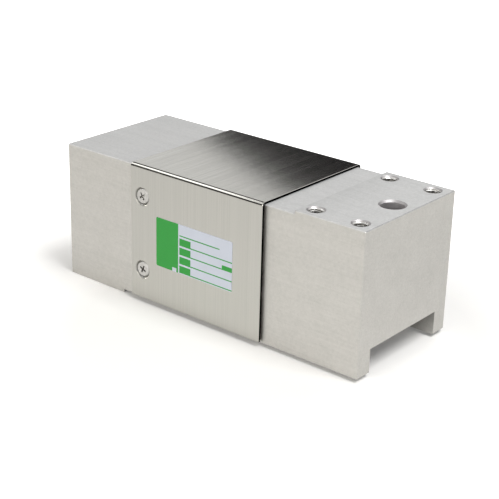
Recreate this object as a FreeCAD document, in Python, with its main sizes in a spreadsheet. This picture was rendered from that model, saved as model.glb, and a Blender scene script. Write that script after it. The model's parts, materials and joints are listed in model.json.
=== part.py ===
import FreeCAD, Part
import os
import Sketcher

# A single point load cell: a machined aluminium block under a folded sheet cover.
# The frame's origin is the centre of the fixed end's four bolt holes, on the face of the lower pad.
# +X runs to the loaded end, +Y to the rear and +Z up. Lengths are millimetres, turns are degrees.

SIZES = [
    ("body_length", 191, "fixed end face to loaded end face"),
    ("body_width", 75, "front face to rear face"),
    ("core_height", 72, "height of the block between the levels of its pads"),
    ("pad_step", 1.7, "rise of each bolting pad from the block"),
    ("pad_length", 40, "length of each bolting pad"),
    ("edge_break", 0.4, "chamfer on the block's outer edges"),
    ("mount_pitch_x", 25, "spacing of the bolt holes along the block"),
    ("mount_pitch_y", 60, "spacing of the bolt holes across the block"),
    ("mount_end_distance", 8, "end face to the nearer row of bolt holes"),
    ("mount_thread", 8, "thread diameter of the bolt holes"),
    ("mount_mouth", 9.2, "countersunk mouth of the bolt holes"),
    ("mount_depth", 25, "depth of the bolt holes"),
    ("stop_bore", 11.6, "large plain bore at the loaded end"),
    ("stop_bore_mouth", 13.6, "chamfered mouth of the large bore"),
    ("stop_bore_end_distance", 11, "loaded end face to the large bore"),
    ("slot_width", 55.5, "slot under the loaded end, across the block"),
    ("slot_depth", 12.5, "slot under the loaded end, upwards"),
    ("slot_length", 40, "slot under the loaded end, from its end face"),
    ("slot_corner", 6, "corner radius at the inner end of the slot"),
    ("drawn_span", 111, "length between the pads for which the stretching sizes are given"),
    ("flexure_pitch", 46, "spacing of the flexure bores along the block, stretching"),
    ("flexure_inset", 15.3, "cover's screws to the first flexure bores, stretching"),
    ("flexure_bore", 18, "diameter of the flexure bores"),
    ("flexure_thickness", 8, "metal left over each flexure bore"),
    ("beam_thickness", 12, "metal left over the window between the flexures"),
    ("window_wall", 5, "flexure bore axis to the window's end wall"),
    ("pocket_depth", 2, "depth of the gauge pockets"),
    ("pocket_width", 36, "width of the gauge pockets"),
    ("pocket_margin", 13, "loaded flexure to the pocket's nearer end"),
    ("pocket_corner", 4, "corner radius of the gauge pockets"),
    ("wire_hole", 3.2, "upright hole that joins the two gauge pockets"),
    ("wire_hole_offset", 13, "fixed flexure to the upright hole"),
    ("wire_hole_margin", 4, "upright hole to the pocket's nearer end"),
    ("cable_bore", 6, "bore from the gland to the upright hole"),
    ("cover_margin", 8.1, "lower pad to the cover, stretching"),
    ("cover_overhang", 16.9, "last flexure bores to the cover's loaded edge"),
    ("sheet_thickness", 1, "thickness of the cover's sheet"),
    ("bend_radius", 0.8, "inner radius of the cover's bends"),
    ("cover_side_gap", 0.9, "block to flange"),
    ("cover_top_gap", 0.25, "block to the cover's top"),
    ("flange_lift", 1, "block's underside to the flange's lower edge"),
    ("screw_inset", 7.6, "cover's fixed edge to its screws"),
    ("lower_screw_height", 16.8, "block's underside to the lower screws"),
    ("screw_pitch", 40, "lower screws to upper screws"),
    ("dimple_mouth", 9.8, "mouth of the pressed dimple round each screw"),
    ("dimple_hole", 4.4, "hole at the bottom of each dimple"),
    ("dimple_round", 0.35, "rounding of the dimple's mouth"),
    ("seat_clearance", 0.1, "dimple to its conical seat in the block"),
    ("screw_tap", 3.3, "tapping drill of the cover's screws"),
    ("screw_hole_depth", 14, "depth of the holes for the cover's screws"),
    ("screw_head", 8.2, "diameter of the screw heads"),
    ("screw_rim", 0.5, "chamfer round the screw heads"),
    ("screw_length", 13, "length of the screws with their heads"),
    ("screw_point", 0.5, "chamfer at the screws' ends"),
    ("screw_fit", 0.05, "screw to what it sits in"),
    ("recess_span", 4.3, "cross recess from tip to tip"),
    ("recess_width", 0.95, "width of the cross recess"),
    ("recess_depth", 1.7, "depth of the cross recess"),
    ("recess_draft", 8, "slope of the cross recess's walls"),
    ("upper_recess_turn", 33, "turn of the upper screws' cross recess"),
    ("lower_recess_turn", 66, "turn of the lower screws' cross recess"),
    ("label_fixed_margin", 17.6, "cover's fixed edge to the label"),
    ("label_loaded_margin", 17.8, "label to the cover's loaded edge"),
    ("label_height", 26.4, "height of the label"),
    ("label_lift", 21.2, "flange's lower edge to the label"),
    ("label_corner", 0.8, "corner radius of the label"),
    ("label_thickness", 0.1, "thickness of the label"),
    ("gauge_length", 10, "length of a strain gauge's film"),
    ("gauge_width", 7, "width of a strain gauge's film"),
    ("gauge_thickness", 0.1, "thickness of a strain gauge's film"),
    ("grid_length", 6, "length of a strain gauge's foil grid"),
    ("grid_width", 4, "width of a strain gauge's foil grid"),
    ("grid_thickness", 0.05, "thickness of a strain gauge's foil grid"),
    ("terminal_gap", 0.5, "strain gauge to its terminal"),
    ("terminal_length", 5, "length of a terminal"),
    ("terminal_width", 10, "width of a terminal"),
    ("board_length", 14, "length of the bridge board, stretching"),
    ("board_width", 24, "width of the bridge board"),
    ("board_thickness", 0.8, "thickness of the board and the terminals"),
    ("resistor_length", 6, "length of a resistor"),
    ("resistor_width", 2.4, "width of a resistor"),
    ("resistor_height", 0.6, "height of a resistor"),
    ("resistor_pitch", 4, "spacing of the two resistors that stand side by side"),
    ("resistor_row", 5.2, "board's centre line to the nearest resistors"),
    ("lead_thickness", 0.2, "thickness of the flat leads"),
    ("lead_width", 1.6, "width of the short leads"),
    ("lead_overlap", 1.5, "length of a lead on what it joins"),
    ("lead_row", 3.4, "board's centre line to the short leads"),
    ("ribbon_width", 2.4, "width of the long lead"),
    ("potting_drop", 0.15, "block's face to the sealing compound"),
    ("gland_tap", 10.6, "bore for the gland's threaded end"),
    ("gland_tap_depth", 14, "depth of the bore for the gland"),
    ("gland_reach", 11, "length of the gland in the block"),
    ("gland_fit", 0.1, "gland pieces to what they screw into, on the radius"),
    ("gland_flats", 14, "gland's size across its flats"),
    ("gland_flange", 3, "thickness of the gland body's hexagon"),
    ("gland_neck", 7, "length of the gland body's outer thread"),
    ("gland_bore", 6.4, "cable's way through the gland"),
    ("gasket_thickness", 1, "thickness of the gland's gasket"),
    ("gasket_width", 1.4, "width of the gasket's ring"),
    ("bush_diameter", 8.4, "diameter of the gland's rubber bush"),
    ("bush_length", 5, "length of the gland's rubber bush"),
    ("bush_bore", 5, "hole in the gland's rubber bush"),
    ("nut_gap", 0.5, "gland nut to the gland body's hexagon"),
    ("nut_wall", 1.2, "end wall of the gland nut"),
    ("nut_round", 1, "chamfer round the gland nut's end"),
]

# Levels and places that follow from the driving sizes.
FIXED_END = "(-Sizes.mount_end_distance - Sizes.mount_pitch_x / 2)"
LOADED_END = f"({FIXED_END} + Sizes.body_length)"
LOADED_PATTERN = "(Sizes.body_length - 2 * Sizes.mount_end_distance - Sizes.mount_pitch_x)"
HALF_WIDTH = "(Sizes.body_width / 2)"
CORE_TOP = "(Sizes.pad_step + Sizes.core_height)"
PAD_TOP = f"({CORE_TOP} + Sizes.pad_step)"
MIDDLE = "(Sizes.pad_step + Sizes.core_height / 2)"

# The stretching sizes grow and shrink with the length between the two pads.
STRETCH = "((Sizes.body_length - 2 * Sizes.pad_length) / Sizes.drawn_span)"
COVER_START = f"({FIXED_END} + Sizes.pad_length + Sizes.cover_margin * {STRETCH})"
SCREW_X = f"({COVER_START} + Sizes.screw_inset)"
FIXED_FLEXURE = f"({SCREW_X} + Sizes.flexure_inset * {STRETCH})"
LOADED_FLEXURE = f"({FIXED_FLEXURE} + Sizes.flexure_pitch * {STRETCH})"
COVER_LENGTH = f"({LOADED_FLEXURE} + Sizes.cover_overhang - {COVER_START})"
BOARD_LENGTH = f"(Sizes.board_length * {STRETCH})"
BORE_RISE = "(Sizes.core_height / 2 - Sizes.pocket_depth - Sizes.flexure_thickness - Sizes.flexure_bore / 2)"
WINDOW_RISE = "(Sizes.core_height / 2 - Sizes.pocket_depth - Sizes.beam_thickness)"
WIRE_HOLE = f"({FIXED_FLEXURE} - Sizes.wire_hole_offset)"
POCKET_START = f"({WIRE_HOLE} - Sizes.wire_hole_margin)"
POCKET_END = f"({LOADED_FLEXURE} + Sizes.pocket_margin)"
BEAM_CENTRE = f"(({FIXED_FLEXURE} + {LOADED_FLEXURE}) / 2)"
TERMINAL_OFFSET = "(Sizes.gauge_length / 2 + Sizes.terminal_gap + Sizes.terminal_length / 2)"
FIXED_TERMINAL = f"({FIXED_FLEXURE} + {TERMINAL_OFFSET})"
LOADED_TERMINAL = f"({LOADED_FLEXURE} - {TERMINAL_OFFSET})"

COVER_FACE = f"({HALF_WIDTH} + Sizes.cover_side_gap + Sizes.sheet_thickness)"
COVER_TOP = f"({CORE_TOP} + Sizes.cover_top_gap + Sizes.sheet_thickness)"
FLANGE_END = "(Sizes.pad_step + Sizes.flange_lift)"
SCREW_HEIGHTS = {
    "lower": "(Sizes.pad_step + Sizes.lower_screw_height)",
    "upper": "(Sizes.pad_step + Sizes.lower_screw_height + Sizes.screw_pitch)",
}

# A dimple's walls slope at 45 degrees, so its depth is half the drop in diameter.
DIMPLE_DEPTH = "((Sizes.dimple_mouth - Sizes.dimple_hole) / 2)"
DIMPLE_BACK = "(Sizes.dimple_mouth / 2 + (sqrt(2) - 1) * Sizes.sheet_thickness)"
SEAT_MOUTH = f"(2 * {DIMPLE_BACK} - 2 * Sizes.cover_side_gap + Sizes.seat_clearance)"
HEAD_SINK = "((Sizes.dimple_mouth - Sizes.screw_head) / 2 - Sizes.screw_rim - Sizes.screw_fit)"

FRONT = -1
REAR = 1
UP = 1
DOWN = -1

doc = FreeCAD.newDocument("LoadCell")
sheet = doc.addObject("Spreadsheet::Sheet", "Sizes")


def fill_sheet():
    """One row for each driving size: what it is, its number and its name."""
    for row, (alias, size, note) in enumerate(SIZES, start=1):
        sheet.set(f"A{row}", note)
        sheet.set(f"B{row}", str(size))
        sheet.setAlias(f"B{row}", alias)
    doc.recompute()


def number(expression):
    """The present number of an expression over the sheet."""
    return float(sheet.evalExpression(expression))


def opposite(expression):
    """The same distance on the other side."""
    return f"(-{expression})"


def add_body(name):
    """An empty body with the name of its piece."""
    body = doc.addObject("PartDesign::Body", name)
    body.Label = name
    return body


def origin_plane(body, role):
    """The body's own origin plane of that role."""
    return next(item for item in body.Origin.OriginFeatures if item.Role == role)


def add_sketch(body, name, role, level="0", shift="0"):
    """A sketch on a plane parallel to an origin plane, moved out by level and along by shift."""
    sketch = body.newObject("Sketcher::SketchObject", name)
    sketch.AttachmentSupport = [(origin_plane(body, role), "")]
    sketch.MapMode = "FlatFace"
    sketch.setExpression("AttachmentOffset.Base.x", shift)
    sketch.setExpression("AttachmentOffset.Base.z", level)
    return sketch


def locate(sketch, item, point, x, y):
    """Ties a point of a sketch to its distances from the sketch's origin."""
    for kind, distance in (("DistanceX", x), ("DistanceY", y)):
        rule = Sketcher.Constraint(kind, -1, 1, item, point, number(distance))
        index = sketch.addConstraint(rule)
        sketch.setExpression(f"Constraints[{index}]", distance)


def outline(sketch, corners):
    """A closed outline of straight lines through corners given as expressions."""
    points = [FreeCAD.Vector(number(x), number(y), 0) for x, y in corners]
    ends = points[1:] + points[:1]
    sketch.addGeometry([Part.LineSegment(start, end) for start, end in zip(points, ends)], False)
    for item, (x, y) in enumerate(corners):
        following = (item + 1) % len(corners)
        sketch.addConstraint(Sketcher.Constraint("Coincident", item, 2, following, 1))
        locate(sketch, item, 1, x, y)


def rectangle(sketch, left, right, low, high):
    """A rectangle between four distances given as expressions."""
    outline(sketch, [(left, low), (right, low), (right, high), (left, high)])


def centred_rectangle(sketch, x, y, length, width):
    """A rectangle round a centre."""
    left = f"({x} - {length} / 2)"
    right = f"({x} + {length} / 2)"
    low = f"({y} - {width} / 2)"
    high = f"({y} + {width} / 2)"
    rectangle(sketch, left, right, low, high)


def circle(sketch, x, y, diameter):
    """A circle with its centre and diameter given as expressions."""
    centre = FreeCAD.Vector(number(x), number(y), 0)
    item = sketch.addGeometry(Part.Circle(centre, FreeCAD.Vector(0, 0, 1), number(diameter) / 2), False)
    locate(sketch, item, 3, x, y)
    index = sketch.addConstraint(Sketcher.Constraint("Diameter", item, number(diameter)))
    sketch.setExpression(f"Constraints[{index}]", diameter)


def hexagon(sketch, flats):
    """A hexagon round the sketch's origin, with two corners on its X axis."""
    reach = f"({flats} / sqrt(3))"
    side = f"({flats} / 2)"
    half = f"({reach} / 2)"
    corners = [
        (reach, "0"),
        (half, side),
        (opposite(half), side),
        (opposite(reach), "0"),
        (opposite(half), opposite(side)),
        (half, opposite(side)),
    ]
    outline(sketch, corners)


def extrude(body, kind, name, sketch, length, reverse=False, both=False, draft=None):
    """A pad or pocket of a sketch."""
    item = body.newObject(f"PartDesign::{kind}", name)
    item.Profile = sketch
    item.setExpression("Length", length)
    item.Reversed = reverse
    if both:
        item.SideType = "Symmetric"
    if draft:
        item.setExpression("TaperAngle", draft)
    doc.recompute()
    return item


def spin(body, kind, name, sketch):
    """A revolution or groove of a sketch about its upright axis."""
    item = body.newObject(f"PartDesign::{kind}", name)
    item.Profile = sketch
    item.ReferenceAxis = (sketch, ["V_Axis"])
    doc.recompute()
    return item


def drill(body, name, sketch, diameter, depth=None, mouth=None, reverse=False, flat=False):
    """Holes at a sketch's circles, through where no depth is given, countersunk where a mouth is."""
    doc.recompute()
    hole = body.newObject("PartDesign::Hole", name)
    hole.Profile = sketch
    hole.Reversed = reverse
    hole.setExpression("Diameter", diameter)
    hole.DrillPoint = "Flat" if flat else "Angled"
    hole.DepthType = "Dimension" if depth else "ThroughAll"
    if depth:
        hole.setExpression("Depth", depth)
    if mouth:
        hole.HoleCutType = "Countersink"
        hole.HoleCutCustomValues = True
        hole.HoleCutCountersinkAngle = 90
        hole.setExpression("HoleCutDiameter", mouth)
    doc.recompute()
    return hole


def dress(body, kind, name, base, chosen, size):
    """A fillet or chamfer on the edges of a feature that a test chooses."""
    item = body.newObject(f"PartDesign::{kind}", name)
    edges = enumerate(base.Shape.Edges, start=1)
    item.Base = (base, [f"Edge{index}" for index, edge in edges if chosen(edge)])
    item.setExpression("Radius" if kind == "Fillet" else "Size", size)
    doc.recompute()
    return item


def close(first, second):
    """Whether two lengths are the same."""
    return abs(first - second) < 1e-4


def runs_along(edge, axis):
    """Whether a straight edge is parallel to an axis, 0 for X, 1 for Y and 2 for Z."""
    if edge.Curve.TypeId != "Part::GeomLine":
        return False
    return close(abs(edge.Curve.Direction[axis]), 1)


def place(item, x, y, z, rotation):
    """Sets a piece at a place given as expressions."""
    item.Placement = FreeCAD.Placement(FreeCAD.Vector(), rotation)
    item.setExpression("Placement.Base.x", x)
    item.setExpression("Placement.Base.y", y)
    item.setExpression("Placement.Base.z", z)


def turn(axis, degrees):
    """A rotation about one axis of the frame."""
    return FreeCAD.Rotation(FreeCAD.Vector(*axis), degrees)


def block(body):
    """The block with its raised pad at the loaded end and its lowered pad at the fixed end."""
    lower_pad_end = f"({FIXED_END} + Sizes.pad_length)"
    upper_pad_end = f"({LOADED_END} - Sizes.pad_length)"
    sketch = add_sketch(body, "side_outline", "XZ_Plane")
    corners = [
        (FIXED_END, "0"),
        (lower_pad_end, "0"),
        (lower_pad_end, "Sizes.pad_step"),
        (LOADED_END, "Sizes.pad_step"),
        (LOADED_END, PAD_TOP),
        (upper_pad_end, PAD_TOP),
        (upper_pad_end, CORE_TOP),
        (FIXED_END, CORE_TOP),
    ]
    outline(sketch, corners)
    solid = extrude(body, "Pad", "block", sketch, "Sizes.body_width", both=True)
    inner_corners = [
        (number(lower_pad_end), number("Sizes.pad_step")),
        (number(upper_pad_end), number(CORE_TOP)),
    ]

    def is_outer(edge):
        centre = edge.CenterOfMass
        return not any(close(centre.x, x) and close(centre.z, z) for x, z in inner_corners)

    dress(body, "Chamfer", "broken_edges", solid, is_outer, "Sizes.edge_break")


def loaded_end_slot(body):
    """The wide slot milled into the underside of the loaded end, open at its end face."""
    inner_end = f"({LOADED_END} - Sizes.slot_length)"
    side = "(Sizes.slot_width / 2)"
    sketch = add_sketch(body, "slot_outline", "XY_Plane", "Sizes.pad_step")
    rectangle(sketch, inner_end, LOADED_END, opposite(side), side)
    slot = extrude(body, "Pocket", "slot", sketch, "Sizes.slot_depth", reverse=True)

    def is_inner_corner(edge):
        centre = edge.CenterOfMass
        at_end = close(centre.x, number(inner_end)) and close(abs(centre.y), number(side))
        return at_end and runs_along(edge, 2)

    dress(body, "Fillet", "slot_corners", slot, is_inner_corner, "Sizes.slot_corner")


def measuring_window(body):
    """The window across the block, whose four corner bores leave the thin flexures."""
    left = f"({FIXED_FLEXURE} - Sizes.window_wall)"
    right = f"({LOADED_FLEXURE} + Sizes.window_wall)"
    sketch = add_sketch(body, "window_outline", "XZ_Plane")
    rectangle(sketch, left, right, f"({MIDDLE} - {WINDOW_RISE})", f"({MIDDLE} + {WINDOW_RISE})")
    extrude(body, "Pocket", "window", sketch, "Sizes.body_width", both=True)
    sketch = add_sketch(body, "flexure_circles", "XZ_Plane")
    for x in (FIXED_FLEXURE, LOADED_FLEXURE):
        for side in ("-", "+"):
            circle(sketch, x, f"({MIDDLE} {side} {BORE_RISE})", "Sizes.flexure_bore")
    extrude(body, "Pocket", "flexure_bores", sketch, "Sizes.body_width", both=True)


def gauge_pocket(body, name, level, reverse):
    """A shallow pocket over the flexures, in the upper or lower face of the block."""
    side = "(Sizes.pocket_width / 2)"
    sketch = add_sketch(body, f"{name}_outline", "XY_Plane", level)
    rectangle(sketch, POCKET_START, POCKET_END, opposite(side), side)
    pocket = extrude(body, "Pocket", name, sketch, "Sizes.pocket_depth", reverse=reverse)
    low, high = sorted([number(level), number(level) + (1 if reverse else -1) * number("Sizes.pocket_depth")])

    def is_pocket_corner(edge):
        centre = edge.CenterOfMass
        at_side = close(abs(centre.y), number(side)) and low < centre.z < high
        return at_side and runs_along(edge, 2)

    dress(body, "Fillet", f"{name}_corners", pocket, is_pocket_corner, "Sizes.pocket_corner")


def bolt_holes(body, name, centre, level, reverse):
    """Four threaded holes in a rectangle, drawn at their thread's diameter."""
    sketch = add_sketch(body, f"{name}_centres", "XY_Plane", level)
    for x in ("- Sizes.mount_pitch_x", "+ Sizes.mount_pitch_x"):
        for y in ("-Sizes.mount_pitch_y", "Sizes.mount_pitch_y"):
            circle(sketch, f"({centre} {x} / 2)", f"({y} / 2)", "Sizes.mount_thread")
    drill(body, name, sketch, "Sizes.mount_thread", "Sizes.mount_depth", "Sizes.mount_mouth", reverse)


def stop_bore(body):
    """The large plain bore from the upper pad down into the slot."""
    sketch = add_sketch(body, "stop_bore_centre", "XY_Plane", PAD_TOP)
    circle(sketch, f"({LOADED_END} - Sizes.stop_bore_end_distance)", "0", "Sizes.stop_bore")
    drill(body, "stop_bore", sketch, "Sizes.stop_bore", mouth="Sizes.stop_bore_mouth")


def cover_screw_holes(body, name, level, reverse):
    """Two threaded holes in one side, each with a conical seat for a dimple of the cover."""
    sketch = add_sketch(body, f"{name}_centres", "XZ_Plane", level)
    for height in SCREW_HEIGHTS.values():
        circle(sketch, SCREW_X, height, "Sizes.screw_tap")
    drill(body, name, sketch, "Sizes.screw_tap", "Sizes.screw_hole_depth", SEAT_MOUTH, reverse)


def wiring_holes(body):
    """The threaded entry for the gland, the cable's bore behind it and the upright wire hole."""
    entry = add_sketch(body, "gland_entry_centre", "YZ_Plane", FIXED_END)
    circle(entry, "0", MIDDLE, "Sizes.gland_tap")
    drill(body, "gland_entry", entry, "Sizes.gland_tap", "Sizes.gland_tap_depth", reverse=True, flat=True)
    bore = add_sketch(body, "cable_bore_centre", "YZ_Plane", FIXED_END)
    circle(bore, "0", MIDDLE, "Sizes.cable_bore")
    depth = f"({WIRE_HOLE} + Sizes.wire_hole / 2 - {FIXED_END})"
    drill(body, "cable_bore", bore, "Sizes.cable_bore", depth, reverse=True, flat=True)
    upright = add_sketch(body, "wire_hole_centre", "XY_Plane", CORE_TOP)
    circle(upright, WIRE_HOLE, "0", "Sizes.wire_hole")
    extrude(body, "Pocket", "wire_hole", upright, "Sizes.core_height")


def load_cell_body():
    """The machined block, from its blank to its smallest hole."""
    body = add_body("load_cell_body")
    block(body)
    loaded_end_slot(body)
    measuring_window(body)
    gauge_pocket(body, "top_pocket", CORE_TOP, False)
    gauge_pocket(body, "bottom_pocket", "Sizes.pad_step", True)
    bolt_holes(body, "loaded_end_holes", LOADED_PATTERN, PAD_TOP, False)
    bolt_holes(body, "fixed_end_holes", "0", "0", True)
    stop_bore(body)
    cover_screw_holes(body, "front_screw_holes", HALF_WIDTH, False)
    cover_screw_holes(body, "rear_screw_holes", opposite(HALF_WIDTH), True)
    wiring_holes(body)
    return body


def folded_sheet(body):
    """The bent sheet: a flat top and two flanges, with its bends rounded inside and out."""
    inner_side = f"({COVER_FACE} - Sizes.sheet_thickness)"
    inner_top = f"({COVER_TOP} - Sizes.sheet_thickness)"
    sketch = add_sketch(body, "cover_section", "YZ_Plane", COVER_START)
    corners = [
        (opposite(COVER_FACE), FLANGE_END),
        (opposite(COVER_FACE), COVER_TOP),
        (COVER_FACE, COVER_TOP),
        (COVER_FACE, FLANGE_END),
        (inner_side, FLANGE_END),
        (inner_side, inner_top),
        (opposite(inner_side), inner_top),
        (opposite(inner_side), FLANGE_END),
    ]
    outline(sketch, corners)
    sheet_metal = extrude(body, "Pad", "sheet_metal", sketch, COVER_LENGTH)
    outer = dress(
        body,
        "Fillet",
        "outer_bends",
        sheet_metal,
        lambda edge: runs_along(edge, 0) and close(edge.CenterOfMass.z, number(COVER_TOP)),
        "(Sizes.bend_radius + Sizes.sheet_thickness)",
    )
    return dress(
        body,
        "Fillet",
        "inner_bends",
        outer,
        lambda edge: runs_along(edge, 0)
        and close(edge.CenterOfMass.z, number(inner_top))
        and close(abs(edge.CenterOfMass.y), number(inner_side)),
        "Sizes.bend_radius",
    )


def dimple(body, side, level_name):
    """One dimple pressed into a flange: a cone added behind the sheet and a cone cut from its face."""
    name = f"{'front' if side == FRONT else 'rear'}_{level_name}"
    height = SCREW_HEIGHTS[level_name]
    sign = "-" if side == FRONT else ""
    face = f"({sign}{COVER_FACE})"
    back = f"({sign}({COVER_FACE} - Sizes.sheet_thickness))"
    bottom = f"({sign}({COVER_FACE} - {DIMPLE_DEPTH}))"
    back_end = f"({DIMPLE_BACK} - {DIMPLE_DEPTH} + Sizes.sheet_thickness)"
    hole = "(Sizes.dimple_hole / 2)"
    wall = add_sketch(body, f"{name}_dimple_wall", "XY_Plane", height, SCREW_X)
    outline(wall, [(hole, back), (DIMPLE_BACK, back), (back_end, bottom), (hole, bottom)])
    spin(body, "Revolution", f"{name}_dimple", wall)
    mouth = add_sketch(body, f"{name}_dimple_cone", "XY_Plane", height, SCREW_X)
    outline(mouth, [("0", face), ("(Sizes.dimple_mouth / 2)", face), (hole, bottom), ("0", bottom)])
    return spin(body, "Groove", f"{name}_countersink", mouth)


def folded_cover():
    """The cover: one folded sheet whose four dimples carry it on the block."""
    body = add_body("folded_cover")
    folded_sheet(body)
    for side in (FRONT, REAR):
        for level_name in SCREW_HEIGHTS:
            pressed = dimple(body, side, level_name)

    def is_mouth(edge):
        if edge.Curve.TypeId != "Part::GeomCircle":
            return False
        return close(2 * edge.Curve.Radius, number("Sizes.dimple_mouth"))

    dress(body, "Fillet", "dimple_mouths", pressed, is_mouth, "Sizes.dimple_round")
    return body


def cross_recess(body):
    """The cross recess in a screw's head, with walls that close in towards its bottom."""
    tip = "(Sizes.recess_span / 2)"
    side = "(Sizes.recess_width / 2)"
    quarter = [(tip, side), (side, side), (side, tip)]
    corners = []
    for x_sign, y_sign, order in (("", "", 1), ("-", "", -1), ("-", "-", 1), ("", "-", -1)):
        corners += [(f"({x_sign}{x})", f"({y_sign}{y})") for x, y in quarter[::order]]
    sketch = add_sketch(body, f"{body.Name}_cross", "XY_Plane")
    outline(sketch, corners)
    draft = opposite("Sizes.recess_draft")
    extrude(body, "Pocket", f"{body.Name}_recess", sketch, "Sizes.recess_depth", draft=draft)


def cover_screw(side, level_name):
    """A countersunk screw with a cross recess, seated in a dimple of the cover."""
    name = f"{'front' if side == FRONT else 'rear'}_{level_name}_cover_screw"
    body = add_body(name)
    head = "(Sizes.screw_head / 2)"
    shank = "(Sizes.screw_tap / 2 - Sizes.screw_fit)"
    neck = f"(-Sizes.screw_rim - {head} + {shank})"
    sketch = add_sketch(body, f"{name}_profile", "XZ_Plane")
    corners = [
        ("0", "0"),
        (f"({head} - Sizes.screw_rim)", "0"),
        (head, "(-Sizes.screw_rim)"),
        (shank, neck),
        (shank, "(Sizes.screw_point - Sizes.screw_length)"),
        (f"({shank} - Sizes.screw_point)", "(-Sizes.screw_length)"),
        ("0", "(-Sizes.screw_length)"),
    ]
    outline(sketch, corners)
    spin(body, "Revolution", f"{name}_turned", sketch)
    cross_recess(body)
    depth = f"({COVER_FACE} - {HEAD_SINK})"
    y = depth if side == REAR else opposite(depth)
    about_axis = turn((0, 0, 1), number(f"Sizes.{level_name}_recess_turn"))
    outwards = turn((1, 0, 0), -side * 90)
    place(body, SCREW_X, y, SCREW_HEIGHTS[level_name], outwards * about_axis)
    return body


def rating_label():
    """The label on the front flange, with rounded corners."""
    body = add_body("rating_label")
    left = f"({COVER_START} + Sizes.label_fixed_margin)"
    right = f"({COVER_START} + {COVER_LENGTH} - Sizes.label_loaded_margin)"
    low = f"({FLANGE_END} + Sizes.label_lift)"
    sketch = add_sketch(body, "label_outline", "XZ_Plane", COVER_FACE)
    rectangle(sketch, left, right, low, f"({low} + Sizes.label_height)")
    film = extrude(body, "Pad", "label_film", sketch, "Sizes.label_thickness")
    dress(body, "Fillet", "label_corners", film, lambda edge: runs_along(edge, 1), "Sizes.label_corner")
    return body


def pocket_floor(facing):
    """The level of the floor of the upper or lower gauge pocket."""
    if facing == UP:
        return f"({CORE_TOP} - Sizes.pocket_depth)"
    return "(Sizes.pad_step + Sizes.pocket_depth)"


def raised(facing, rise):
    """A level that stands off a pocket's floor by a rise."""
    return f"({pocket_floor(facing)} {'+' if facing == UP else '-'} {rise})"


def flat_piece(name, facing, rise, x, y, length, width, thickness):
    """A flat rectangular piece in a gauge pocket, its base at a rise above the pocket's floor."""
    body = add_body(name)
    sketch = add_sketch(body, f"{name}_outline", "XY_Plane", raised(facing, rise))
    centred_rectangle(sketch, x, y, length, width)
    extrude(body, "Pad", f"{name}_blank", sketch, thickness, reverse=facing == DOWN)
    return body


def strain_gauge(name, facing, x):
    """A gauge bonded over a flexure: its film and the foil grid on it."""
    film = ("Sizes.gauge_length", "Sizes.gauge_width", "Sizes.gauge_thickness")
    body = flat_piece(name, facing, "0", x, "0", *film)
    sketch = add_sketch(body, f"{name}_grid_outline", "XY_Plane", raised(facing, "Sizes.gauge_thickness"))
    centred_rectangle(sketch, x, "0", "Sizes.grid_length", "Sizes.grid_width")
    extrude(body, "Pad", f"{name}_grid", sketch, "Sizes.grid_thickness", reverse=facing == DOWN)
    return body


def terminal(name, facing, x):
    """A small solder terminal beside a gauge."""
    size = ("Sizes.terminal_length", "Sizes.terminal_width", "Sizes.board_thickness")
    return flat_piece(name, facing, "0", x, "0", *size)


def bridge_board():
    """The board that joins the four gauges, in the middle of the upper pocket."""
    size = (BOARD_LENGTH, "Sizes.board_width", "Sizes.board_thickness")
    return flat_piece("bridge_board", UP, "0", BEAM_CENTRE, "0", *size)


def resistors():
    """The three resistors on the bridge board."""
    rows = {
        "span_resistor": "(Sizes.resistor_row + Sizes.resistor_width / 2)",
        "zero_resistor": "(-Sizes.resistor_row)",
        "temperature_resistor": "(-Sizes.resistor_row - Sizes.resistor_pitch)",
    }
    size = ("Sizes.resistor_length", "Sizes.resistor_width", "Sizes.resistor_height")
    return [
        flat_piece(name, UP, "Sizes.board_thickness", BEAM_CENTRE, y, *size)
        for name, y in rows.items()
    ]


def short_lead(name, terminal_x, side):
    """A flat lead from a terminal to the bridge board, on the faces of both."""
    sign = "-" if side < 0 else "+"
    opposite_sign = "+" if side < 0 else "-"
    board_edge = f"({BEAM_CENTRE} {sign} {BOARD_LENGTH} / 2)"
    terminal_edge = f"({terminal_x} {opposite_sign} Sizes.terminal_length / 2)"
    middle = f"(({board_edge} + {terminal_edge}) / 2)"
    length = f"(abs({board_edge} - {terminal_edge}) + 2 * Sizes.lead_overlap)"
    size = (length, "Sizes.lead_width", "Sizes.lead_thickness")
    return flat_piece(name, UP, "Sizes.board_thickness", middle, "Sizes.lead_row", *size)


def bottom_lead():
    """The long flat lead: along the lower terminals, up the wire hole and over to the board."""
    body = add_body("bottom_lead")
    loaded_tip = LOADED_TERMINAL
    board_tip = f"({BEAM_CENTRE} - {BOARD_LENGTH} / 2 + Sizes.lead_overlap)"
    outer = f"({WIRE_HOLE} - Sizes.lead_thickness / 2)"
    inner = f"({WIRE_HOLE} + Sizes.lead_thickness / 2)"
    low_inside = raised(DOWN, "Sizes.board_thickness")
    low_outside = f"({low_inside} - Sizes.lead_thickness)"
    high_inside = raised(UP, "Sizes.board_thickness")
    high_outside = f"({high_inside} + Sizes.lead_thickness)"
    sketch = add_sketch(body, "bottom_lead_outline", "XZ_Plane")
    corners = [
        (loaded_tip, low_inside),
        (loaded_tip, low_outside),
        (outer, low_outside),
        (outer, high_outside),
        (board_tip, high_outside),
        (board_tip, high_inside),
        (inner, high_inside),
        (inner, low_inside),
    ]
    outline(sketch, corners)
    extrude(body, "Pad", "bottom_lead_strip", sketch, "Sizes.ribbon_width", both=True)
    return body


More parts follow.
